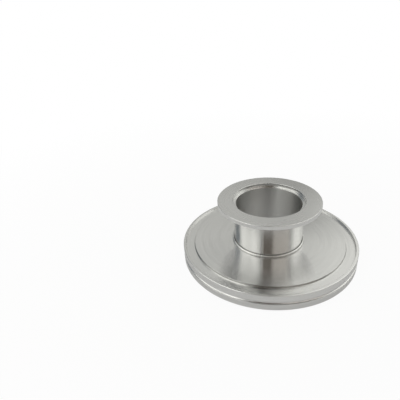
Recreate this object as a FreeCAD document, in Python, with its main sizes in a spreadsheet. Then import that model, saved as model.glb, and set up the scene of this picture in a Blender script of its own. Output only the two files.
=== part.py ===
import FreeCAD, Part
import math
import os

import Sketcher

# Straight reducer between a large claw-clamp vacuum flange and a small quick-clamp flange.
# It is a weldment: a turned disc, a weld stub that is flange and neck in one, and the weld round the neck.
# The origin is the centre of the large sealing face, +Z runs along the bore to the small flange, and all
# lengths are in millimetres.

DRIVING_SIZES = [
    ("overall_height", 45.0, "sealing face to sealing face"),
    ("tube_bore", 47.8, "inside diameter of the neck and of the whole passage"),
    ("tube_wall", 1.5, "wall of the neck"),
    ("large_diameter", 130.0, "outside diameter of the large flange"),
    ("large_thickness", 12.0, "thickness of the large flange"),
    ("large_edge", 0.8, "chamfer on both outer edges of the large flange"),
    ("seat_diameter", 102.2, "outer wall of the centring groove in the large sealing face"),
    ("seat_width", 5.1, "radial width of the centring groove"),
    ("seat_depth", 3.0, "depth of the centring groove"),
    ("seat_edge", 0.3, "chamfer on the edges of the groove and of the bore in the sealing face"),
    ("lip_width", 1.9, "radial width of the lip outside the claw groove"),
    ("claw_width", 6.9, "radial width of the claw groove in the back of the large flange"),
    ("claw_depth", 1.5, "depth of the claw groove"),
    ("claw_foot", 0.4, "slope at 45 degrees along the foot of both walls of the claw groove"),
    ("wire_diameter", 2.4, "half-round groove in the outer edge, for a wire retaining ring"),
    ("wire_height", 6.0, "middle of the half-round groove above the sealing face"),
    ("socket_depth", 7.0, "how deep the neck sits in the back of the large flange"),
    ("socket_clearance", 0.1, "radial clearance of the neck in its socket"),
    ("weld_leg", 1.5, "width of the weld bead on the disc and its height on the neck"),
    ("small_diameter", 75.0, "outside diameter of the small flange"),
    ("small_rim", 3.0, "height of the small flange's edge"),
    ("small_edge", 0.3, "chamfer on the outer edges of the small flange"),
    ("back_angle", 15.0, "slope of the small flange's conical back, in degrees"),
    ("neck_slope", 1.0, "slope that eases the corner between the conical back and the neck"),
    ("recess_step", 2.2, "radial step from the bore to the wall of the centring recess"),
    ("recess_depth", 2.8, "depth of the centring recess"),
    ("recess_edge", 0.3, "chamfer on the mouth of the recess and on the bore's edge in its floor"),
]

# Sizes that follow from the driving ones
DERIVED_SIZES = [
    ("bore_radius", "tube_bore / 2"),
    ("neck_radius", "bore_radius + tube_wall"),
    ("large_radius", "large_diameter / 2"),
    ("seat_outer", "seat_diameter / 2"),
    ("seat_inner", "seat_outer - seat_width"),
    ("claw_outer", "large_radius - lip_width"),
    ("claw_inner", "claw_outer - claw_width"),
    ("claw_floor", "large_thickness - claw_depth"),
    ("wire_radius", "wire_diameter / 2"),
    ("socket_radius", "neck_radius + socket_clearance"),
    ("shoulder", "large_thickness - socket_depth"),
    ("weld_toe", "neck_radius + weld_leg"),
    ("stub_length", "overall_height - shoulder"),
    ("small_radius", "small_diameter / 2"),
    ("rim_foot", "stub_length - small_rim"),
    ("back_foot", "rim_foot - (small_radius - neck_radius) * tan(back_angle * 1 deg)"),
    ("recess_radius", "bore_radius + recess_step"),
    ("recess_floor", "stub_length - recess_depth"),
]


def make_sheet(document):
    sheet = document.addObject("Spreadsheet::Sheet", "sizes")
    row = 1
    for alias, value, meaning in DRIVING_SIZES:
        sheet.set(f"A{row}", alias)
        sheet.set(f"B{row}", str(value))
        sheet.set(f"C{row}", meaning)
        sheet.setAlias(f"B{row}", alias)
        row += 1
    for alias, formula in DERIVED_SIZES:
        sheet.set(f"A{row}", alias)
        sheet.set(f"B{row}", "=" + formula)
        sheet.setAlias(f"B{row}", alias)
        row += 1
    document.recompute()
    return sheet


def make_body(document, name):
    body = document.addObject("PartDesign::Body", name)
    body.Label = name
    return body


def section_sketch(body, name):
    # A sketch in the half plane that is turned about the Z axis: its x is radius and its y is height
    sketch = body.newObject("Sketcher::SketchObject", name)
    plane = [item for item in body.Origin.OriginFeatures if item.Role == "XZ_Plane"][0]
    sketch.AttachmentSupport = [(plane, "")]
    sketch.MapMode = "FlatFace"
    return sketch


def value_of(item, formula):
    return float(item.evalExpression(formula))


def point_at(item, radius, height):
    return FreeCAD.Vector(value_of(item, radius), value_of(item, height), 0)


def fix_coordinate(sketch, kind, element, end, formula):
    # Holds one coordinate of a point at a formula of the sheet, or on the sketch axis where it is zero.
    # Element -1 is a sketch's level axis, whose start is its origin, and element -2 is its upright axis.
    if formula == "0":
        line = -2 if kind == "DistanceX" else -1
        sketch.addConstraint(Sketcher.Constraint("PointOnObject", element, end, line))
        return
    value = value_of(sketch, formula)
    number = sketch.addConstraint(Sketcher.Constraint(kind, -1, 1, element, end, value))
    sketch.setExpression(f"Constraints[{number}]", formula)


def fix_point(sketch, element, end, corner):
    fix_coordinate(sketch, "DistanceX", element, end, corner[0])
    fix_coordinate(sketch, "DistanceY", element, end, corner[1])


def outline(sketch, corners):
    # A closed outline of straight lines through corners that are given as radius and height formulas
    points = [point_at(sketch, radius, height) for radius, height in corners]
    for start, end in zip(points, points[1:] + points[:1]):
        sketch.addGeometry(Part.LineSegment(start, end), False)
    for index, corner in enumerate(corners):
        before = (index - 1) % len(corners)
        sketch.addConstraint(Sketcher.Constraint("Coincident", before, 2, index, 1))
        fix_point(sketch, index, 1, corner)


def rectangle(inner, outer, bottom, top):
    return [(inner, bottom), (outer, bottom), (outer, top), (inner, top)]


def turn(body, kind, name, sketch):
    feature = body.newObject("PartDesign::" + kind, name)
    feature.Profile = sketch
    feature.ReferenceAxis = (sketch, ["V_Axis"])
    feature.Angle = 360.0
    sketch.Visibility = False
    body.Document.recompute()
    return feature


def turned(body, name, corners):
    sketch = section_sketch(body, name + "_section")
    outline(sketch, corners)
    return turn(body, "Revolution", name, sketch)


def grooved(body, name, corners):
    sketch = section_sketch(body, name + "_section")
    outline(sketch, corners)
    return turn(body, "Groove", name, sketch)


def circle_at(shape, radius, height):
    # Name of the circular edge that lies at one radius and height
    for number, edge in enumerate(shape.Edges, start=1):
        curve = edge.Curve
        if not isinstance(curve, Part.Circle):
            continue
        if math.isclose(curve.Radius, radius) and math.isclose(curve.Center.z, height, abs_tol=1e-6):
            return f"Edge{number}"
    raise RuntimeError(f"no edge of radius {radius} at height {height}")


def soften(body, name, size, places):
    # A chamfer of one named size along circles that are given as radius and height formulas
    base = body.Tip
    edges = [circle_at(base.Shape, value_of(body, radius), value_of(body, height))
             for radius, height in places]
    feature = body.newObject("PartDesign::Chamfer", name)
    feature.Base = (base, edges)
    feature.setExpression("Size", size)
    base.Visibility = False
    body.Document.recompute()
    return feature


def large_flange(document):
    body = make_body(document, "large_flange")
    turned(body, "disc", rectangle("0", "sizes.large_radius", "0", "sizes.large_thickness"))
    grooved(body, "passage", rectangle("0", "sizes.bore_radius", "0", "sizes.large_thickness"))
    grooved(body, "socket",
            rectangle("0", "sizes.socket_radius", "sizes.shoulder", "sizes.large_thickness"))
    grooved(body, "centring_groove",
            rectangle("sizes.seat_inner", "sizes.seat_outer", "0", "sizes.seat_depth"))
    grooved(body, "claw_groove",
            rectangle("sizes.claw_inner", "sizes.claw_outer", "sizes.claw_floor", "sizes.large_thickness"))
    ring_groove(body)
    soften(body, "claw_feet", "sizes.claw_foot", [
        ("sizes.claw_inner", "sizes.claw_floor"),
        ("sizes.claw_outer", "sizes.claw_floor"),
    ])
    soften(body, "outer_edges", "sizes.large_edge", [
        ("sizes.large_radius", "0"),
        ("sizes.large_radius", "sizes.large_thickness"),
    ])
    soften(body, "face_edges", "sizes.seat_edge", [
        ("sizes.seat_outer", "0"),
        ("sizes.seat_inner", "0"),
        ("sizes.bore_radius", "0"),
    ])
    return body


def ring_groove(body):
    # Half-round groove in the outer edge: a circle whose centre lies on the rim
    sketch = section_sketch(body, "wire_groove_section")
    centre = ("sizes.large_radius", "sizes.wire_height")
    circle = Part.Circle(point_at(sketch, *centre), FreeCAD.Vector(0, 0, 1),
                         value_of(sketch, "sizes.wire_radius"))
    element = sketch.addGeometry(circle, False)
    fix_point(sketch, element, 3, centre)
    radius = Sketcher.Constraint("Radius", element, value_of(sketch, "sizes.wire_radius"))
    sketch.setExpression(f"Constraints[{sketch.addConstraint(radius)}]", "sizes.wire_radius")
    turn(body, "Groove", "wire_groove", sketch)


def small_flange(document):
    # Weld stub: its own zero height is the lower end of the neck, which stands on the socket's shoulder
    body = make_body(document, "small_flange")
    turned(body, "stub", [
        ("0", "0"),
        ("sizes.neck_radius", "0"),
        ("sizes.neck_radius", "sizes.back_foot"),
        ("sizes.small_radius", "sizes.rim_foot"),
        ("sizes.small_radius", "sizes.stub_length"),
        ("0", "sizes.stub_length"),
    ])
    grooved(body, "passage", rectangle("0", "sizes.bore_radius", "0", "sizes.stub_length"))
    grooved(body, "centring_recess",
            rectangle("0", "sizes.recess_radius", "sizes.recess_floor", "sizes.stub_length"))
    soften(body, "neck_end", "sizes.neck_slope", [("sizes.neck_radius", "sizes.back_foot")])
    soften(body, "rim_edges", "sizes.small_edge", [
        ("sizes.small_radius", "sizes.stub_length"),
        ("sizes.small_radius", "sizes.rim_foot"),
    ])
    soften(body, "recess_edges", "sizes.recess_edge", [
        ("sizes.recess_radius", "sizes.stub_length"),
        ("sizes.bore_radius", "sizes.recess_floor"),
    ])
    body.setExpression("Placement.Base.z", "sizes.shoulder")
    return body


def weld_bead(document):
    # Fillet weld in the corner between the back of the disc and the neck
    body = make_body(document, "weld_bead")
    turned(body, "bead", [
        ("sizes.neck_radius", "0"),
        ("sizes.weld_toe", "0"),
        ("sizes.neck_radius", "sizes.weld_leg"),
    ])
    body.setExpression("Placement.Base.z", "sizes.large_thickness")
    return body


def check(document, pieces):
    for item in document.Objects:
        if "Invalid" in item.State or "Error" in item.State:
            raise RuntimeError(f"{item.Name} did not recompute: {item.State}")
    for piece in pieces:
        shape = piece.Shape
        if shape.isNull() or not shape.isValid():
            raise RuntimeError(f"{piece.Label} has no valid shape")
        box = shape.optimalBoundingBox(False)
        print(f"{piece.Label}: {len(shape.Solids)} solid, {shape.Volume:.1f} mm3, "
              f"radius {box.XMax:.3f}, height {box.ZMin:.3f} to {box.ZMax:.3f}")


def main():
    document = FreeCAD.newDocument("flange_reducer")
    make_sheet(document)
    pieces = [large_flange(document), small_flange(document), weld_bead(document)]
    document.recompute()
    check(document, pieces)
    os.makedirs("parts", exist_ok=True)
    for piece in pieces:
        piece.Shape.exportStep(f"parts/{piece.Label}.step")


main()
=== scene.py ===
import math

import bmesh
import bpy
from mathutils import Matrix, Vector


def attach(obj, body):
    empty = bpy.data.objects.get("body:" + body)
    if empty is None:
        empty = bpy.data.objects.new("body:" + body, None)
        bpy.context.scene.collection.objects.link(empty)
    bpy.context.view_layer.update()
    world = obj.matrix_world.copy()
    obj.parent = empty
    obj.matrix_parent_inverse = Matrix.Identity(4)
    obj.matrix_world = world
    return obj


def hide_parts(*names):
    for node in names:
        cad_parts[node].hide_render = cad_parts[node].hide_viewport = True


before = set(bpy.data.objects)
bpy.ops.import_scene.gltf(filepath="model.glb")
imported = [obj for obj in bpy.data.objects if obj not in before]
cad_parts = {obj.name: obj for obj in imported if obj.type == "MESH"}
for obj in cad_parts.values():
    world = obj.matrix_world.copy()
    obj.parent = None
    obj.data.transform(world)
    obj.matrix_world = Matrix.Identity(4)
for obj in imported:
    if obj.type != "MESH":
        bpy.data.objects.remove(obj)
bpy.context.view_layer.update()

mm = 0.001
print("Stage 1: the frame is loaded")


def linearColour(hexCode):
    # sRGB hex to the linear values that the shaders take
    parts = [int(hexCode[i:i + 2], 16) / 255 for i in (1, 3, 5)]
    return tuple(c / 12.92 if c <= 0.04045 else ((c + 0.055) / 1.055) ** 2.4 for c in parts) + (1.0,)


def addNode(tree, kind, settings=None, links=None):
    # settings name a property of the node or one of its inputs, links name an input and what feeds it,
    # which is another node's output or a plain number
    node = tree.nodes.new(kind)
    for name, value in (settings or {}).items():
        if isinstance(name, str) and hasattr(node, name):
            setattr(node, name, value)
        else:
            node.inputs[name].default_value = value
    for name, source in (links or {}).items():
        if isinstance(source, bpy.types.NodeSocket):
            tree.links.new(source, node.inputs[name])
        else:
            node.inputs[name].default_value = source
    return node


# Lathe: the section's corners are rounded, and the section is turned about the Z axis
def newLathe(name, extraSockets=()):
    tree = bpy.data.node_groups.new(name, "GeometryNodeTree")
    tree.interface.new_socket("Geometry", in_out="INPUT", socket_type="NodeSocketGeometry")
    sharedSockets = (("Segments", "NodeSocketInt"), ("Corner steps", "NodeSocketInt"),
                     ("Path radius", "NodeSocketFloat"), ("Finish", "NodeSocketMaterial"))
    for label, kind in (*sharedSockets, *extraSockets):
        tree.interface.new_socket(label, in_out="INPUT", socket_type=kind)
    tree.interface.new_socket("Geometry", in_out="OUTPUT", socket_type="NodeSocketGeometry")
    return tree, tree.nodes.new("NodeGroupInput"), tree.nodes.new("NodeGroupOutput")


def latheSteps(tree, given):
    section = addNode(tree, "GeometryNodeMeshToCurve", None, {"Mesh": given.outputs["Geometry"]})
    rounding = addNode(tree, "GeometryNodeInputNamedAttribute", {"data_type": "FLOAT", "Name": "rounding"})
    rounded = addNode(tree, "GeometryNodeFilletCurve", {"mode": "POLY", "Limit Radius": True},
                      {"Curve": section.outputs[0], "Count": given.outputs["Corner steps"],
                       "Radius": rounding.outputs["Attribute"]})
    path = addNode(tree, "GeometryNodeCurvePrimitiveCircle", None,
                   {"Resolution": given.outputs["Segments"], "Radius": given.outputs["Path radius"]})
    return addNode(tree, "GeometryNodeCurveToMesh", None,
                   {"Curve": path.outputs["Curve"], "Profile Curve": rounded.outputs["Curve"]})


def finishSteps(tree, given, taken, mesh):
    realized = addNode(tree, "GeometryNodeRealizeInstances", None, {"Geometry": mesh})
    finished = addNode(tree, "GeometryNodeSetMaterial", None,
                       {"Geometry": realized.outputs["Geometry"], "Material": given.outputs["Finish"]})
    tree.links.new(finished.outputs["Geometry"], taken.inputs["Geometry"])


def makeLatheTree():
    tree, given, taken = newLathe("lathe")
    ring = latheSteps(tree, given)
    finishSteps(tree, given, taken, ring.outputs["Mesh"])
    return tree


def makeSection(name, corners, pathRadius):
    # A curve's profile hangs down from its path, so the heights are turned over here
    mesh = bpy.data.meshes.new(name + "Section")
    points = [(radius * mm - pathRadius, -height * mm, 0) for radius, height, rounding in corners]
    mesh.from_pydata(points, [(i, (i + 1) % len(points)) for i in range(len(points))], [])
    roundings = mesh.attributes.new("rounding", "FLOAT", "POINT")
    roundings.data.foreach_set("value", [rounding * mm for radius, height, rounding in corners])
    return mesh


def turnedPiece(name, node, corners, tree, size, inputs):
    # corners: radius, height and rounding in mm, once round the section
    inputs = {"Segments": size["segments"], "Corner steps": size["cornerSteps"],
              "Path radius": size["pathRadius"] * mm, **inputs}
    piece = bpy.data.objects.new(name, makeSection(name, corners, inputs["Path radius"]))
    bpy.context.scene.collection.objects.link(piece)
    modifier = piece.modifiers.new("turn", "NODES")
    modifier.node_group = tree
    for item in tree.interface.items_tree:
        if item.name in inputs and item.in_out == "INPUT":
            modifier[item.identifier] = inputs[item.name]
    bpy.context.view_layer.update()
    solid = bpy.data.meshes.new_from_object(piece.evaluated_get(bpy.context.evaluated_depsgraph_get()))
    piece.modifiers.remove(modifier)
    piece.data = solid
    solid.name = name
    tidyMesh(solid)
    piece.modifiers.new("faceNormals", "WEIGHTED_NORMAL")
    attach(piece, "root")
    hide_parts(node)
    return piece


samePoint = 1e-7  # metres between two points that are one


def tidyMesh(mesh):
    shape = bmesh.new()
    shape.from_mesh(mesh)
    bmesh.ops.remove_doubles(shape, verts=shape.verts, dist=samePoint)
    bmesh.ops.recalc_face_normals(shape, faces=shape.faces)
    shape.to_mesh(mesh)
    shape.free()
    mesh.polygons.foreach_set("use_smooth", [True] * len(mesh.polygons))


# Austenitic stainless bar, face turned on a lathe and not polished: fine rings that smear every
# reflection across them, so light runs out from the axis in fans
turnedSteel = {
    "colour": "#E1E1E0",
    "ringShade": "#D6D6D5",            # the duller metal between the bright rings
    "roughness": 0.2,
    "roughnessSpread": 0.01,           # how far the broad rings go above and below it
    "anisotropy": 1.0,
    "rings": 1.0,                      # how much of the ring pattern shows
    "feed": 0.5,                       # mm between rings; the real 0.12 mm or so is too fine to show
    "fineShare": 0.6,                  # how much the single rings count
    "broadShare": (0.15, 0.25),        # what a dull and a bright broad ring add to them
    "broadScale": 0.3,                 # the feed divided by this is the width of a broad ring
    "ringHeight": 0.0006,              # mm
    "arc": 2.5,                        # how often a ring changes on its way round
    "handling": 22.0,                  # mm across a faint patch left by handling
    "handlingSpread": (-0.01, 0.015),  # what such patches add to the roughness
}

# The small flange and the large one's rim are turned finer and then rubbed, so their fans are softer
facedSteel = dict(turnedSteel, colour="#DEDEDD", ringShade="#D7D7D6", roughness=0.27, anisotropy=0.3)

# Drawn tube, smooth and bright with hardly a ring
drawnSteel = dict(turnedSteel, colour="#DBDBDA", ringShade="#D5D5D4", roughness=0.16, rings=0.2)

# The bore is cut with a long bar, so it stays coarser and rougher; its darker colour is painted shade down
# the bore
boredShadedSteel = dict(turnedSteel, colour="#D0D0CE", ringShade="#CECECC", roughness=0.32, rings=0.2)

# The claw groove's inner wall, cut by the tool's flank: its darker colour is painted shade along the groove
flankShadedSteel = dict(turnedSteel, colour="#C4C4C2", ringShade="#C2C2C0")


def newMaterial(name):
    material = bpy.data.materials.new(name)
    material.use_nodes = True
    material.node_tree.nodes.clear()
    return material, material.node_tree


noiseRange = (0.3, 0.7)  # nearly all of a noise lies in here


def rangeSettings(result, source=noiseRange):
    return {"From Min": source[0], "From Max": source[1], "To Min": result[0], "To Max": result[1]}


def flatRadius(tree, position):
    # the way out from the Z axis, and its length
    outwards = addNode(tree, "ShaderNodeVectorMath", {"operation": "MULTIPLY", 1: (1, 1, 0)},
                       {0: position}).outputs["Vector"]
    radius = addNode(tree, "ShaderNodeVectorMath", {"operation": "LENGTH"}, {0: outwards})
    return outwards, radius.outputs["Value"]


def ringCoordinates(tree, finish):
    # radius and height drive the rings, and a small circle stands for the way round, so there is no seam
    place = addNode(tree, "ShaderNodeTexCoord").outputs["Object"]
    outwards, radius = flatRadius(tree, place)
    way = addNode(tree, "ShaderNodeVectorMath", {"operation": "NORMALIZE"}, {0: outwards})
    wayParts = addNode(tree, "ShaderNodeSeparateXYZ", None, {0: way.outputs["Vector"]})
    placeParts = addNode(tree, "ShaderNodeSeparateXYZ", None, {0: place})
    across = [addNode(tree, "ShaderNodeMath", {"operation": "DIVIDE", 1: finish["feed"] * mm},
                      {0: source}).outputs[0] for source in (radius, placeParts.outputs["Z"])]
    around = [addNode(tree, "ShaderNodeMath", {"operation": "MULTIPLY", 1: finish["arc"]},
                      {0: wayParts.outputs[axis]}).outputs[0] for axis in "XY"]
    vector = addNode(tree, "ShaderNodeCombineXYZ", None, {"X": around[0], "Y": around[1], "Z": across[1]})
    tangent = addNode(tree, "ShaderNodeVectorMath", {"operation": "CROSS_PRODUCT", 0: (0, 0, 1)},
                      {1: place})
    return {"place": place, "vector": vector.outputs["Vector"], "across": across[0],
            "tangent": tangent.outputs["Vector"]}


def steelMaterial(name, finish):
    material, tree = newMaterial(name)
    at = ringCoordinates(tree, finish)
    # W carries the radius, and the node scales it with the vector
    fine, broad = (addNode(tree, "ShaderNodeTexNoise",
                           {"noise_dimensions": "4D", "Scale": scale, "Detail": detail},
                           {"Vector": at["vector"], "W": at["across"]}).outputs[0]
                   for scale, detail in ((1.0, 2.0), (finish["broadScale"], 1.0)))
    patches = addNode(tree, "ShaderNodeTexNoise",
                      {"Scale": 1 / (finish["handling"] * mm), "Detail": 3.0}, {"Vector": at["place"]})
    broadPart = addNode(tree, "ShaderNodeMapRange", rangeSettings(finish["broadShare"]), {"Value": broad})
    mixed = addNode(tree, "ShaderNodeMath", {"operation": "MULTIPLY_ADD", 1: finish["fineShare"]},
                    {0: fine, 2: broadPart.outputs[0]})
    # without rings the level is an even 0.5
    level = addNode(tree, "ShaderNodeMix", {"data_type": "FLOAT", 0: finish["rings"], 2: 0.5},
                    {3: mixed.outputs[0]}).outputs[0]
    bright = addNode(tree, "ShaderNodeMapRange", rangeSettings((0.0, 1.0)), {"Value": level})
    shade = addNode(tree, "ShaderNodeMix",
                    {"data_type": "RGBA", 6: linearColour(finish["ringShade"]),
                     7: linearColour(finish["colour"])}, {0: bright.outputs[0]})
    dullest = finish["roughness"] + finish["roughnessSpread"]
    smoothest = finish["roughness"] - finish["roughnessSpread"]
    ringRough = addNode(tree, "ShaderNodeMapRange", rangeSettings((dullest, smoothest)), {"Value": broad})
    patchRough = addNode(tree, "ShaderNodeMapRange", rangeSettings(finish["handlingSpread"]),
                         {"Value": patches.outputs[0]})
    rough = addNode(tree, "ShaderNodeMath", {"operation": "ADD"},
                    {0: ringRough.outputs[0], 1: patchRough.outputs[0]})
    rise = addNode(tree, "ShaderNodeBump", {"Strength": 1.0, "Distance": finish["ringHeight"] * mm},
                   {"Height": level})
    # the tangent runs along the rings, and a quarter turn smears the light across them
    shader = addNode(tree, "ShaderNodeBsdfPrincipled",
                     {"Metallic": 1.0, "Anisotropic": finish["anisotropy"], "Anisotropic Rotation": 0.25},
                     {"Base Color": shade.outputs[2], "Roughness": rough.outputs[0],
                      "Normal": rise.outputs["Normal"], "Tangent": at["tangent"]})
    addNode(tree, "ShaderNodeOutputMaterial", None, {"Surface": shader.outputs["BSDF"]})
    return material


steel = steelMaterial("turnedStainless", turnedSteel)
faced = steelMaterial("facedStainless", facedSteel)
drawn = steelMaterial("drawnStainless", drawnSteel)
boredShaded = steelMaterial("boredShadedStainless", boredShadedSteel)
flankShaded = steelMaterial("flankShadedStainless", flankShadedSteel)

latheTree = makeLatheTree()

# Large flange: disc with the sealing face below and the claw groove on top, in mm
largeFlange = {
    "outerRadius": 65.0, "thickness": 12.0, "boreRadius": 23.9,
    "socketRadius": 25.4, "socketFloor": 5.0,
    "seatInner": 46.0, "seatOuter": 51.1, "seatDepth": 3.0,
    "clawInner": 56.2, "clawDraft": 0.35, "clawOuter": 63.1, "clawDepth": 1.5,
    "wireHeight": 6.0, "wireRadius": 1.2,
    # roundings
    "faceEdge": 0.3, "lowEdge": 0.8, "topEdge": 0.4, "seatFoot": 0.4, "socketEdge": 0.1,
    "clawEdge": 0.12, "clawInnerFoot": 0.3, "clawOuterFoot": 0.15, "wireEdge": 0.1, "wireFoot": 1.1,
    "segments": 256, "cornerSteps": 5,
    "pathRadius": 45.0,  # the circle that carries the section round, which changes no shape
}


def makeLargeFlange(size):
    top = size["thickness"]
    wireLow = size["wireHeight"] - size["wireRadius"]
    wireHigh = size["wireHeight"] + size["wireRadius"]
    wireFloor = size["outerRadius"] - size["wireRadius"]
    clawFloor = top - size["clawDepth"]
    corners = [
        (size["boreRadius"], 0, size["faceEdge"]), (size["seatInner"], 0, size["faceEdge"]),
        (size["seatInner"], size["seatDepth"], size["seatFoot"]),
        (size["seatOuter"], size["seatDepth"], size["seatFoot"]), (size["seatOuter"], 0, size["faceEdge"]),
        (size["outerRadius"], 0, size["lowEdge"]), (size["outerRadius"], wireLow, size["wireEdge"]),
        (wireFloor, wireLow, size["wireFoot"]), (wireFloor, wireHigh, size["wireFoot"]),
        (size["outerRadius"], wireHigh, size["wireEdge"]), (size["outerRadius"], top, size["topEdge"]),
        (size["clawOuter"], top, size["clawEdge"]), (size["clawOuter"], clawFloor, size["clawOuterFoot"]),
        (size["clawInner"] + size["clawDraft"], clawFloor, size["clawInnerFoot"]),
        (size["clawInner"], top, size["clawEdge"]), (size["socketRadius"], top, size["socketEdge"]),
        (size["socketRadius"], size["socketFloor"], size["socketEdge"]),
        (size["boreRadius"], size["socketFloor"], size["socketEdge"]),
    ]
    return turnedPiece("largeFlangeTurned", "large_flange", corners, latheTree, size, {"Finish": steel})


# Small flange: the neck and the flange are one turning, with a conical back and a centring recess.
# The neck stands in the large flange's socket, and the two bores are one
smallFlange = {
    "outerRadius": 37.5, "boreRadius": largeFlange["boreRadius"], "neckRadius": largeFlange["socketRadius"],
    "foot": largeFlange["socketFloor"], "top": 45.0,
    "rim": 3.0, "backAngle": 15.0, "recessRadius": 26.1, "recessDepth": 2.8,
    # roundings
    "edge": 0.3, "backRounding": 1.5, "footEdge": 0.1, "recessFoot": 0.2, "boreEdge": 0.12,
    "segments": 256, "cornerSteps": 6, "pathRadius": 30.0,
}


def makeSmallFlange(size):
    top = size["top"]
    rimFoot = top - size["rim"]
    slope = (size["outerRadius"] - size["neckRadius"]) * math.tan(math.radians(size["backAngle"]))
    recessFloor = top - size["recessDepth"]
    corners = [
        (size["boreRadius"], size["foot"], size["footEdge"]),
        (size["neckRadius"], size["foot"], size["footEdge"]),
        (size["neckRadius"], rimFoot - slope, size["backRounding"]),
        (size["outerRadius"], rimFoot, size["edge"]), (size["outerRadius"], top, size["edge"]),
        (size["recessRadius"], top, size["edge"]), (size["recessRadius"], recessFloor, size["recessFoot"]),
        (size["boreRadius"], recessFloor, size["boreEdge"]),
    ]
    return turnedPiece("smallFlangeTurned", "small_flange", corners, latheTree, size, {"Finish": faced})


# Weld: a round bead laid in the corner, with a notch at the neck and another at its toe, in mm
weldRing = {
    "width": 1.5, "height": 1.5, "rounding": 0.76,
    "sink": 0.06,        # how far it lies in the neck and in the disc
    "ripples": 120, "rippleDepth": 0.05,
    "patchScale": 14.0,  # how often the ripples' pace changes on the way round
    "drift": 9.0,        # how far the pace runs off, in radians of the ripple
    "seed": 4,
    "segments": 720, "cornerSteps": 6, "pathRadius": 26.0,
}


def makeWeldTree():
    tree, given, taken = newLathe("weldBead", (("Ripples", "NodeSocketInt"),
                                               ("Ripple depth", "NodeSocketFloat"),
                                               ("Patch scale", "NodeSocketFloat"),
                                               ("Drift", "NodeSocketFloat"), ("Seed", "NodeSocketInt")))
    ring = latheSteps(tree, given)
    place = addNode(tree, "GeometryNodeInputPosition").outputs["Position"]
    parts = addNode(tree, "ShaderNodeSeparateXYZ", None, {0: place})
    turn = addNode(tree, "ShaderNodeMath", {"operation": "ARCTAN2"},
                   {0: parts.outputs["Y"], 1: parts.outputs["X"]})
    way = addNode(tree, "ShaderNodeVectorMath", {"operation": "NORMALIZE"}, {0: place})
    uneven = addNode(tree, "ShaderNodeTexNoise", {"noise_dimensions": "4D", "Detail": 1.0},
                     {"Vector": way.outputs["Vector"], "W": given.outputs["Seed"],
                      "Scale": given.outputs["Patch scale"]})
    # each ripple is one puddle of the weld, and the noise keeps them from being all alike
    phase = addNode(tree, "ShaderNodeMath", {"operation": "MULTIPLY"},
                    {0: turn.outputs[0], 1: given.outputs["Ripples"]})
    drifted = addNode(tree, "ShaderNodeMath", {"operation": "MULTIPLY_ADD"},
                      {0: uneven.outputs[0], 1: given.outputs["Drift"], 2: phase.outputs[0]})
    wave = addNode(tree, "ShaderNodeMath", {"operation": "SINE"}, {0: drifted.outputs[0]})
    depth = addNode(tree, "ShaderNodeMath", {"operation": "MULTIPLY"},
                    {0: wave.outputs[0], 1: given.outputs["Ripple depth"]})
    facing = addNode(tree, "GeometryNodeInputNormal")
    offset = addNode(tree, "ShaderNodeVectorMath", {"operation": "SCALE"},
                     {0: facing.outputs[0], "Scale": depth.outputs[0]})
    moved = addNode(tree, "GeometryNodeSetPosition", None,
                    {"Geometry": ring.outputs["Mesh"], "Offset": offset.outputs["Vector"]})
    finishSteps(tree, given, taken, moved.outputs["Geometry"])
    return tree


# Weld metal, wire brushed: smoother and a little brighter than the turned faces, with no rings
weldSteel = {
    "colour": "#F0F0EE",
    "shade": "#D0D0CE",
    "puddle": 1.2,                # mm across a shaded or a bright patch
    "brightShare": (0.2, 1.0),    # how much of the colour a shaded and a bright patch have
    "roughness": (0.19, 0.1),     # of a shaded and of a bright patch
    "relief": 0.01,               # mm
    "notchPaintedShade": "#6A6663",           # painted shade in the notch along the neck
    "notchShadeReach": (25.5, 25.85),  # mm from the axis where the painted shade starts to fade, and where it ends
}


def weldMaterial(name, finish):
    material, tree = newMaterial(name)
    place = addNode(tree, "ShaderNodeTexCoord").outputs["Object"]
    cloud = addNode(tree, "ShaderNodeTexNoise", {"Scale": 1 / (finish["puddle"] * mm), "Detail": 3.0},
                    {"Vector": place}).outputs[0]
    bright = addNode(tree, "ShaderNodeMapRange", rangeSettings(finish["brightShare"]), {"Value": cloud})
    metal = addNode(tree, "ShaderNodeMix",
                    {"data_type": "RGBA", 6: linearColour(finish["shade"]),
                     7: linearColour(finish["colour"])}, {0: bright.outputs[0]})
    # painted shade darkens the weld next to the neck and fades out away from the axis
    notchShadeReach = [radius * mm for radius in finish["notchShadeReach"]]
    outsideNotchShade = addNode(tree, "ShaderNodeMapRange", rangeSettings((0.0, 1.0), notchShadeReach),
                    {"Value": flatRadius(tree, place)[1]})
    shade = addNode(tree, "ShaderNodeMix", {"data_type": "RGBA", 6: linearColour(finish["notchPaintedShade"])},
                    {0: outsideNotchShade.outputs[0], 7: metal.outputs[2]})
    rough = addNode(tree, "ShaderNodeMapRange", rangeSettings(finish["roughness"]), {"Value": cloud})
    rise = addNode(tree, "ShaderNodeBump", {"Strength": 1.0, "Distance": finish["relief"] * mm},
                   {"Height": cloud})
    shader = addNode(tree, "ShaderNodeBsdfPrincipled", {"Metallic": 1.0},
                     {"Base Color": shade.outputs[2], "Normal": rise.outputs["Normal"],
                      "Roughness": rough.outputs[0]})
    addNode(tree, "ShaderNodeOutputMaterial", None, {"Surface": shader.outputs["BSDF"]})
    return material


weldTree = makeWeldTree()
weld = weldMaterial("weldedStainless", weldSteel)


def makeWeldRing(size):
    inner = smallFlange["neckRadius"] - size["sink"]
    outer = smallFlange["neckRadius"] + size["width"]
    foot = largeFlange["thickness"] - size["sink"]
    top = largeFlange["thickness"] + size["height"]
    corners = [(radius, height, size["rounding"])
               for radius, height in ((inner, foot), (outer, foot), (outer, top), (inner, top))]
    return turnedPiece("weldRing", "weld_bead", corners, weldTree, size,
                       {"Ripples": size["ripples"], "Ripple depth": size["rippleDepth"] * mm,
                        "Patch scale": size["patchScale"], "Drift": size["drift"],
                        "Seed": size["seed"], "Finish": weld})
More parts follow.
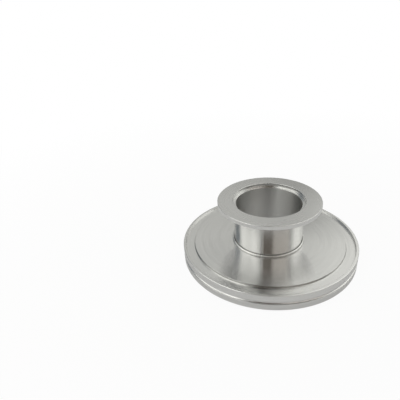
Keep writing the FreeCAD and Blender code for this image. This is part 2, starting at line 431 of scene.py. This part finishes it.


# How far each finish or painted shade reaches past its own surface, in mm, outwards unless it says
# otherwise
finishAndShadeReach = {"bore": 0.2, "neck": 0.6, "claw": 0.1, "clawInwards": 0.05, "clawDown": 2.0,
               "rim": 0.1, "rimDown": 0.8}


def makeFinishAndShadeZones(large, small, reach):
    # material, radius from and to, height from and to
    boreEnd = large["boreRadius"] + reach["bore"]
    clawWall = large["clawInner"] + large["clawDraft"]
    top = large["thickness"]
    return [
        # the bore's darker colour is painted shade down the bore
        (boredShaded, 0, boreEnd, 0, small["top"]),
        (drawn, boreEnd, small["neckRadius"] + reach["neck"], 0, small["top"]),
        # the claw groove's inner wall gets the darker colour, painted shade along the groove
        (flankShaded, large["clawInner"] - reach["clawInwards"], clawWall + reach["claw"],
         top - reach["clawDown"], top),
        (faced, large["clawOuter"] - reach["rim"], large["outerRadius"] + reach["rim"],
         top - reach["rimDown"], top + reach["rim"]),
    ]


def dressZones(piece, zones):
    mesh = piece.data
    for slot, (material, inner, outer, low, high) in enumerate(zones, start=1):
        mesh.materials.append(material)
        for face in mesh.polygons:
            if inner < face.center.xy.length / mm < outer and low < face.center.z / mm < high:
                face.material_index = slot
    return piece


finishAndShadeZones = makeFinishAndShadeZones(largeFlange, smallFlange, finishAndShadeReach)
dressZones(makeLargeFlange(largeFlange), finishAndShadeZones)
dressZones(makeSmallFlange(smallFlange), finishAndShadeZones)
makeWeldRing(weldRing)
print("Stage 2: the pieces are turned")

# Camera at the photograph's place: metres, degrees and, for the lens and the sensor, mm
photoCamera = {"distance": 0.23493, "height": 0.17030, "yaw": 12.294, "pitch": 27.978, "roll": -4.293,
               "lens": 32.333, "sensor": 36.0, "nearest": 0.005}


def makeCamera(setting):
    yaw, pitch, roll = (math.radians(setting[name]) for name in ("yaw", "pitch", "roll"))
    ahead = Matrix.Rotation(yaw, 3, "Z") @ Vector((0, math.cos(pitch), -math.sin(pitch)))
    right = ahead.cross(Vector((0, 0, 1))).normalized()
    above = right.cross(ahead)
    rolledRight = math.cos(roll) * right + math.sin(roll) * above
    rolledAbove = math.cos(roll) * above - math.sin(roll) * right
    camera = bpy.data.objects.new("camera", bpy.data.cameras.new("camera"))
    camera.data.sensor_width = setting["sensor"]
    camera.data.lens = setting["lens"]
    camera.data.clip_start = setting["nearest"]
    turned = Matrix((rolledRight, rolledAbove, -ahead)).transposed().to_4x4()
    camera.matrix_world = Matrix.Translation((0, -setting["distance"], setting["height"])) @ turned
    bpy.context.scene.collection.objects.link(camera)
    bpy.context.scene.camera = camera


makeCamera(photoCamera)


# Floor and studio
def whiteShare(tree, cameraShare, metalShare):
    # how much of the white background a ray takes: one from the camera, or one that metal or glass sends on
    path = addNode(tree, "ShaderNodeLightPath")
    sent = addNode(tree, "ShaderNodeMath", {"operation": "ADD"},
                   {0: path.outputs["Is Glossy Ray"], 1: path.outputs["Is Transmission Ray"]})
    metal = addNode(tree, "ShaderNodeMath", {"operation": "MULTIPLY"}, {0: sent.outputs[0], 1: metalShare})
    return addNode(tree, "ShaderNodeMath", {"operation": "MULTIPLY_ADD", "use_clamp": True},
                   {0: path.outputs["Is Camera Ray"], 1: cameraShare, 2: metal.outputs[0]}).outputs[0]


# Pale paper: it keeps a faint shadow under the part and runs out to plain white. All lengths are metres
whiteTable = {
    "colour": "#CACACA",
    "size": 12.0,
    "gap": 0.0001,          # between the paper and the part
    "share": (0.95, 1.0),   # how much of plain white the camera sees near the part and far from it
    "reach": (0.08, 0.45),  # from the middle to where the near part ends and to where the far part starts
    "metalShare": 0.3,      # how much of plain white the metal sees
    "touching": 0.0005,     # metal nearer than this looks through the paper
}


def makeFloor(setting):
    bpy.ops.mesh.primitive_plane_add(size=setting["size"], location=(0, 0, -setting["gap"]))
    floor = bpy.context.object
    floor.name = "floor"
    material, tree = newMaterial("whitePaper")
    paper = addNode(tree, "ShaderNodeBsdfDiffuse", {"Color": linearColour(setting["colour"])})
    glow = addNode(tree, "ShaderNodeEmission", {"Color": (1, 1, 1, 1), "Strength": 1.0})
    place = addNode(tree, "ShaderNodeTexCoord")
    away = addNode(tree, "ShaderNodeVectorMath", {"operation": "LENGTH"}, {0: place.outputs["Object"]})
    cameraShare = addNode(tree, "ShaderNodeMapRange", rangeSettings(setting["share"], setting["reach"]),
                          {"Value": away.outputs["Value"]})
    share = whiteShare(tree, cameraShare.outputs[0], setting["metalShare"])
    mixed = addNode(tree, "ShaderNodeMixShader", None, {0: share, 1: paper.outputs[0], 2: glow.outputs[0]})
    # from below the paper is clear, also where it touches the part, so the sealing face can be seen
    side = addNode(tree, "ShaderNodeNewGeometry")
    path = addNode(tree, "ShaderNodeLightPath")
    touching = addNode(tree, "ShaderNodeMath", {"operation": "LESS_THAN", 1: setting["touching"]},
                       {0: path.outputs["Ray Length"]})
    hidden = addNode(tree, "ShaderNodeMath", {"operation": "MAXIMUM"},
                     {0: side.outputs["Backfacing"], 1: touching.outputs[0]})
    clear = addNode(tree, "ShaderNodeBsdfTransparent")
    oneSided = addNode(tree, "ShaderNodeMixShader", None,
                       {0: hidden.outputs[0], 1: mixed.outputs[0], 2: clear.outputs[0]})
    addNode(tree, "ShaderNodeOutputMaterial", None, {"Surface": oneSided.outputs[0]})
    floor.data.materials.append(material)


# Soft boxes round the object, as seen from it: azimuth, height above the table, half width, half height
# and softness of the sides in degrees, brightness, where 1 is white, and tint. The camera stands at 270
studio = {
    "room": 0.02,             # light from between the boxes
    "topEdge": 3.0,           # softness of each box's top and bottom, in degrees
    "backdropTop": 3.0,       # height in degrees up to which metal sees the white backdrop
    "backdropSoftness": 2.0,  # degrees above and below that height
    "boxes": {
        "key": (204, 35.5, 42.5, 15.5, 3, 1.2, "#FFFFFA"),
        "keyLeft": (180, 35.5, 11, 15.5, 5, 0.2, "#FFFFFA"),
        "keyRight": (229, 35.5, 12, 15.5, 5, 0.16, "#FFFFFA"),
        "keyEdge": (251, 35.5, 4.5, 15.5, 1.5, 0.6, "#FFFFFA"),
        "keyLow": (210, 12, 30, 8, 5, 0.9, "#FFFFFA"),
        "keyTop": (180, 65, 45, 14, 5, 2.15, "#FFFFFA"),
        "fill": (24, 35.5, 29, 15.5, 19, 1.52, "#FFFFFA"),
        "fillTop": (45, 65, 45, 14, 5, 1.6, "#FFFFFA"),
        "fillBack": (67, 35.5, 12, 15.5, 4, 1.0, "#FFFFFA"),
        "backRight": (84, 35.5, 5, 15.5, 2, 0.42, "#FFFFFA"),
        "back": (101.5, 35.5, 12.5, 15.5, 2, 0.6, "#FFFFFA"),
        "backStrip": (120, 35.5, 6, 15.5, 3, 0.76, "#FFFFFA"),
        "backLeft": (144, 35.5, 18, 15.5, 3, 0.34, "#EEF8FF"),
        "frontRight": (316.5, 35.5, 28.5, 15.5, 8, 0.95, "#FFF8EE"),
        "cameraSide": (270, 35.5, 18, 15.5, 3, 0.25, "#FFEEDC"),
    },
}


def makeBoxGroup(topEdge):
    tree = bpy.data.node_groups.new("softBox", "ShaderNodeTree")
    for label in ("Azimuth", "Height", "Box azimuth", "Box height", "Half width", "Half height",
                  "Side edge", "Brightness"):
        tree.interface.new_socket(label, in_out="INPUT", socket_type="NodeSocketFloat")
    tree.interface.new_socket("Light", in_out="OUTPUT", socket_type="NodeSocketFloat")
    given = tree.nodes.new("NodeGroupInput")
    taken = tree.nodes.new("NodeGroupOutput")
    light = given.outputs["Brightness"]
    for place, middle, half, edge in (
            ("Azimuth", "Box azimuth", "Half width", given.outputs["Side edge"]),
            ("Height", "Box height", "Half height", topEdge)):
        away = addNode(tree, "ShaderNodeMath", {"operation": "SUBTRACT"},
                       {0: given.outputs[place], 1: given.outputs[middle]})
        turned = addNode(tree, "ShaderNodeMath", {"operation": "WRAP", 1: -180, 2: 180},
                         {0: away.outputs[0]})
        distance = addNode(tree, "ShaderNodeMath", {"operation": "ABSOLUTE"}, {0: turned.outputs[0]})
        inside = addNode(tree, "ShaderNodeMath", {"operation": "SUBTRACT"},
                         {0: given.outputs[half], 1: distance.outputs[0]})
        outermost = addNode(tree, "ShaderNodeMath", {"operation": "MULTIPLY", 1: -1}, {0: edge})
        share = addNode(tree, "ShaderNodeMapRange", {"interpolation_type": "SMOOTHSTEP"},
                        {"Value": inside.outputs[0], "From Min": outermost.outputs[0], "From Max": edge})
        light = addNode(tree, "ShaderNodeMath", {"operation": "MULTIPLY"},
                        {0: light, 1: share.outputs[0]}).outputs[0]
    tree.links.new(light, taken.inputs["Light"])
    return tree


def makeWorld(setting):
    world = bpy.data.worlds.new("studio")
    bpy.context.scene.world = world
    world.use_nodes = True
    tree = world.node_tree
    tree.nodes.clear()
    place = addNode(tree, "ShaderNodeTexCoord")
    parts = addNode(tree, "ShaderNodeSeparateXYZ", None, {0: place.outputs["Generated"]})
    turn = addNode(tree, "ShaderNodeMath", {"operation": "ARCTAN2"},
                   {0: parts.outputs["Y"], 1: parts.outputs["X"]})
    rise = addNode(tree, "ShaderNodeMath", {"operation": "ARCSINE"}, {0: parts.outputs["Z"]})
    azimuth = addNode(tree, "ShaderNodeMath", {"operation": "DEGREES"}, {0: turn.outputs[0]})
    height = addNode(tree, "ShaderNodeMath", {"operation": "DEGREES"}, {0: rise.outputs[0]})
    group = makeBoxGroup(setting["topEdge"])
    dim = addNode(tree, "ShaderNodeCombineXYZ", {axis: setting["room"] for axis in "XYZ"})
    light = dim.outputs["Vector"]
    labels = ("Box azimuth", "Box height", "Half width", "Half height", "Side edge", "Brightness")
    for name, (*values, tint) in setting["boxes"].items():
        box = addNode(tree, "ShaderNodeGroup", {"node_tree": group, "label": name})
        for label, value in zip(labels, values):
            box.inputs[label].default_value = value
        tree.links.new(azimuth.outputs[0], box.inputs["Azimuth"])
        tree.links.new(height.outputs[0], box.inputs["Height"])
        light = addNode(tree, "ShaderNodeVectorMath",
                        {"operation": "MULTIPLY_ADD", 1: linearColour(tint)[:3]},
                        {0: box.outputs["Light"], 2: light}).outputs["Vector"]
    backdrop = addNode(tree, "ShaderNodeMapRange",
                       {"interpolation_type": "SMOOTHSTEP",
                        "From Min": setting["backdropTop"] + setting["backdropSoftness"],
                        "From Max": setting["backdropTop"] - setting["backdropSoftness"]},
                       {"Value": height.outputs[0]})
    share = whiteShare(tree, 1.0, backdrop.outputs[0])
    room = addNode(tree, "ShaderNodeBackground", {"Strength": 1.0}, {"Color": light})
    white = addNode(tree, "ShaderNodeBackground", {"Color": (1, 1, 1, 1), "Strength": 1.0})
    mixed = addNode(tree, "ShaderNodeMixShader", None,
                    {0: share, 1: room.outputs[0], 2: white.outputs[0]})
    addNode(tree, "ShaderNodeOutputWorld", None, {"Surface": mixed.outputs[0]})


makeFloor(whiteTable)
makeWorld(studio)

bpy.context.scene.view_settings.view_transform = "Standard"
print("Stage 3: camera, floor and light")
